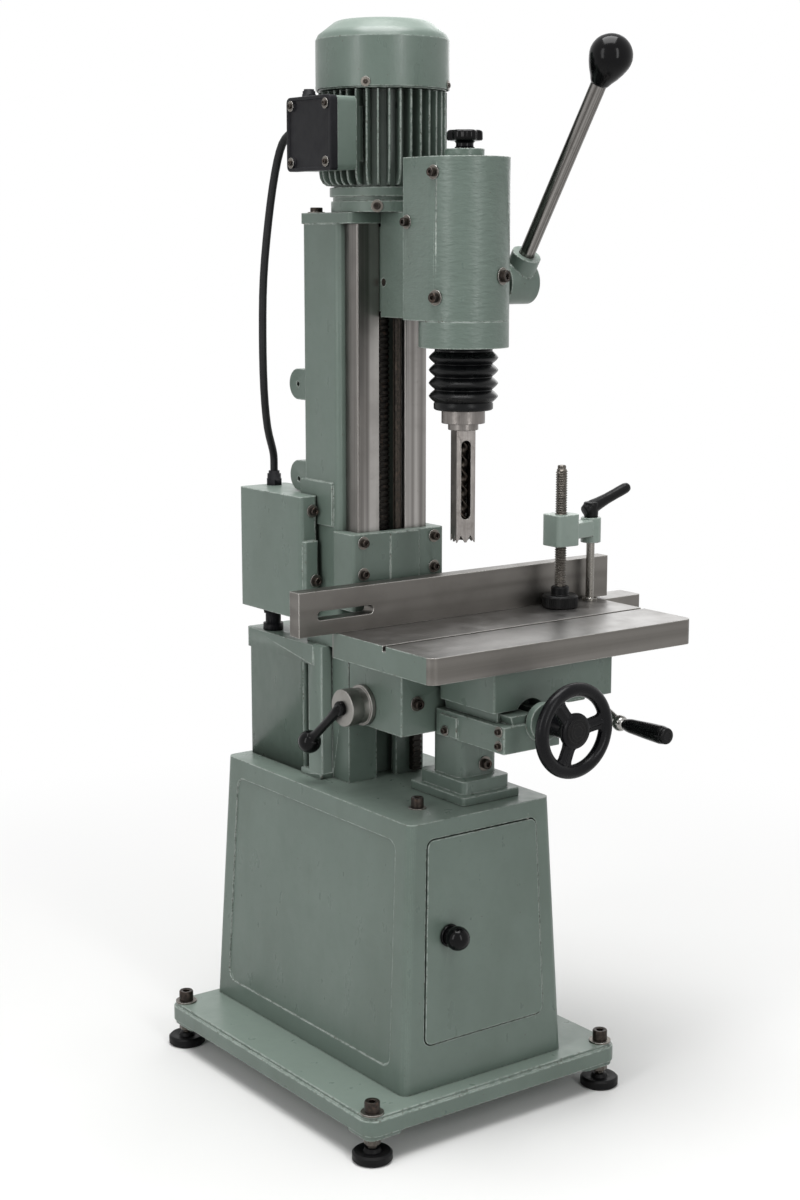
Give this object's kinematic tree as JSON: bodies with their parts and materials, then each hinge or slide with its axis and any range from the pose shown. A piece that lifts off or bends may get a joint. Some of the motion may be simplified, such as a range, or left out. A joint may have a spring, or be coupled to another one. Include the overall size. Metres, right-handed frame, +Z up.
{
  "type": "floor standing chisel mortiser",
  "caption": "Floor-standing hollow-chisel mortiser: cabinet base, ram head on column rails with feed lever, top motor, cross-slide table with fence and screw hold-down.",
  "frame": {"origin": "on the floor, midway between the four levelling feet", "axes": "+Z up; the operator stands at -Y and faces +Y; +X to the operator's right, the side with the feed lever and the hold-down"},
  "size_m": [0.747, 0.7142, 1.7015],
  "materials": {
    "green_enamel": "satin enamel over cast iron and sheet steel",
    "ground_steel": "surface ground",
    "turned_steel": "turned, bright",
    "oiled_steel": "black oxide, oiled",
    "black_phenolic": "moulded, glossy",
    "black_cast": "black enamel, satin",
    "black_rubber": "matt",
    "winding_copper": "varnished copper winding in its core"
  },
  "bodies": {
    "frame": {"base_plate": "green_enamel", "foot_pads": "black_rubber", "cabinet_shell": "green_enamel", "pedestal": "green_enamel", "column": "green_enamel", "guide_rails": "ground_steel", "feed_rack": "oiled_steel", "rail_clamp_block": "green_enamel", "fasteners": "oiled_steel", "control_box": "green_enamel", "cable_glands": "black_phenolic", "motor_cable": "black_rubber", "motor_flange": "green_enamel", "motor_frame": "green_enamel", "stator": "winding_copper", "fan_cover": "green_enamel", "terminal_box": "green_enamel", "terminal_lid": "black_phenolic", "motor_bearings": "turned_steel", "knee_plinth": "green_enamel"},
    "door": {"cabinet_door": "green_enamel"},
    "latch": {"door_latch": "black_phenolic"},
    "motor_rotor": {"rotor": "turned_steel", "cooling_fan": "black_phenolic"},
    "drive": {"drive_shaft": "oiled_steel"},
    "head": {"head_casting": "green_enamel", "nose_ring": "green_enamel", "feed_bracket": "green_enamel", "head_screws": "oiled_steel", "spindle_bearings": "turned_steel", "bellows": "black_rubber", "chisel_holder": "turned_steel", "chisel": "oiled_steel", "drive_belt": "black_rubber"},
    "transfer": {"transfer_gear": "oiled_steel"},
    "spindle": {"spindle": "turned_steel", "auger_bit": "oiled_steel"},
    "feed_lever": {"feed_shaft": "oiled_steel", "lever_hub": "green_enamel", "lever_rod": "turned_steel", "lever_knob": "black_phenolic"},
    "idler": {"idler_gear": "oiled_steel"},
    "pinion": {"rack_pinion": "oiled_steel"},
    "top_knob": {"top_knob": "black_phenolic"},
    "knee": {"knee_post": "green_enamel", "knee_block": "green_enamel", "cross_way": "green_enamel", "knee_screws": "oiled_steel"},
    "lift": {"lift_lever": "turned_steel"},
    "wheel": {"cross_screw": "turned_steel", "handwheel": "black_cast"},
    "cross": {"saddle": "green_enamel"},
    "lock": {"lock_lever": "turned_steel"},
    "table": {"table": "ground_steel", "fence": "ground_steel"},
    "hold_post": {"clamp_post": "oiled_steel"},
    "hold_arm": {"clamp_arm": "green_enamel"},
    "hold_pad": {"clamp_pad": "black_cast"},
    "hold_screw": {"clamp_screw": "turned_steel"},
    "hold_lever": {"clamp_lever": "black_phenolic"}
  },
  "joints": [
    {"name": "door_hinge", "type": "hinge", "parent": "frame", "child": "door", "pos_m": [0.104, -0.25627, 0.14786], "axis": [-0.034, 0.0306, 0.999], "range_deg": [0, 110]},
    {"name": "latch_turn", "type": "hinge", "parent": "door", "child": "latch", "pos_m": [-0.07, -0.25661, 0.31645], "axis": [0, -0.9995, 0.0306], "range_deg": [0, 90]},
    {"name": "rotor_spin", "type": "hinge", "parent": "frame", "child": "motor_rotor", "pos_m": [0, 0.011, 1.5], "axis": [0, 0, 1], "continuous": true},
    {"name": "drive_spin", "type": "hinge", "parent": "frame", "child": "drive", "pos_m": [0.0165, -0.004, 1.1], "axis": [0, 0, 1], "continuous": true},
    {"name": "head_feed", "type": "slide", "parent": "frame", "child": "head", "axis": [0, 0, 1], "range_m": [-0.1, 0]},
    {"name": "transfer_spin", "type": "hinge", "parent": "head", "child": "transfer", "pos_m": [0.011, -0.03193, 1.39], "axis": [0, 0, 1], "continuous": true},
    {"name": "spindle_spin", "type": "hinge", "parent": "head", "child": "spindle", "pos_m": [0, -0.196, 1.2], "axis": [0, 0, 1], "continuous": true},
    {"name": "feed_lever_turn", "type": "hinge", "parent": "head", "child": "feed_lever", "pos_m": [0.124, -0.165, 1.305], "axis": [1, 0, 0], "range_deg": [-5, 110]},
    {"name": "idler_turn", "type": "hinge", "parent": "head", "child": "idler", "pos_m": [0, -0.095, 1.305], "axis": [1, 0, 0], "range_deg": [-145, 5]},
    {"name": "pinion_turn", "type": "hinge", "parent": "head", "child": "pinion", "pos_m": [0, -0.0245, 1.305], "axis": [1, 0, 0], "range_deg": [-5, 195]},
    {"name": "top_knob_turn", "type": "hinge", "parent": "head", "child": "top_knob", "pos_m": [0, -0.196, 1.515], "axis": [0, 0, 1], "continuous": true},
    {"name": "knee_lift", "type": "slide", "parent": "frame", "child": "knee", "axis": [0, 0, 1], "range_m": [0, 0.04]},
    {"name": "lift_lever_turn", "type": "hinge", "parent": "knee", "child": "lift", "pos_m": [-0.09, -0.04, 0.64], "axis": [1, 0, 0], "range_deg": [-80, 5]},
    {"name": "handwheel_turn", "type": "hinge", "parent": "knee", "child": "wheel", "pos_m": [0.065, -0.386, 0.646], "axis": [0, 1, 0], "range_deg": [-4400, 400]},
    {"name": "cross_feed", "type": "slide", "parent": "knee", "child": "cross", "axis": [0, 1, 0], "range_m": [-0.06, 0.005]},
    {"name": "lock_lever_turn", "type": "hinge", "parent": "cross", "child": "lock", "pos_m": [0.215, -0.205, 0.655], "axis": [1, 0, 0], "range_deg": [0, 30]},
    {"name": "table_slide", "type": "slide", "parent": "cross", "child": "table", "axis": [1, 0, 0], "range_m": [-0.12, 0.12]},
    {"name": "hold_post_turn", "type": "hinge", "parent": "table", "child": "hold_post", "pos_m": [0.358, -0.09, 0.85], "axis": [0, 0, 1], "range_deg": [0, 70]},
    {"name": "hold_arm_lift", "type": "slide", "parent": "hold_post", "child": "hold_arm", "axis": [0, 0, 1], "range_m": [0, 0.025]},
    {"name": "hold_pad_lift", "type": "slide", "parent": "hold_arm", "child": "hold_pad", "axis": [0, 0, 1], "range_m": [0, 0.04]},
    {"name": "hold_screw_turn", "type": "hinge", "parent": "hold_pad", "child": "hold_screw", "pos_m": [0.276, -0.108, 0.9], "axis": [0, 0, 1], "range_deg": [-10, 3610]},
    {"name": "hold_lever_turn", "type": "hinge", "parent": "hold_arm", "child": "hold_lever", "pos_m": [0.358, -0.09, 0.93], "axis": [0, 0, 1], "range_deg": [-60, 60]}
  ],
  "couplings": [
    {"joint": "drive_spin", "follows": "rotor_spin", "ratio": -0.83333},
    {"joint": "transfer_spin", "follows": "rotor_spin", "ratio": 0.25},
    {"joint": "spindle_spin", "follows": "rotor_spin", "ratio": 0.175},
    {"joint": "feed_lever_turn", "follows": "head_feed", "rad_per_m": -18.519},
    {"joint": "idler_turn", "follows": "head_feed", "rad_per_m": 24.691},
    {"joint": "pinion_turn", "follows": "head_feed", "rad_per_m": -33.333},
    {"joint": "lift_lever_turn", "follows": "knee_lift", "rad_per_m": -33.333},
    {"joint": "handwheel_turn", "follows": "cross_feed", "rad_per_m": 1256.6},
    {"joint": "hold_screw_turn", "follows": "hold_pad_lift", "rad_per_m": 1570.8}
  ]
}
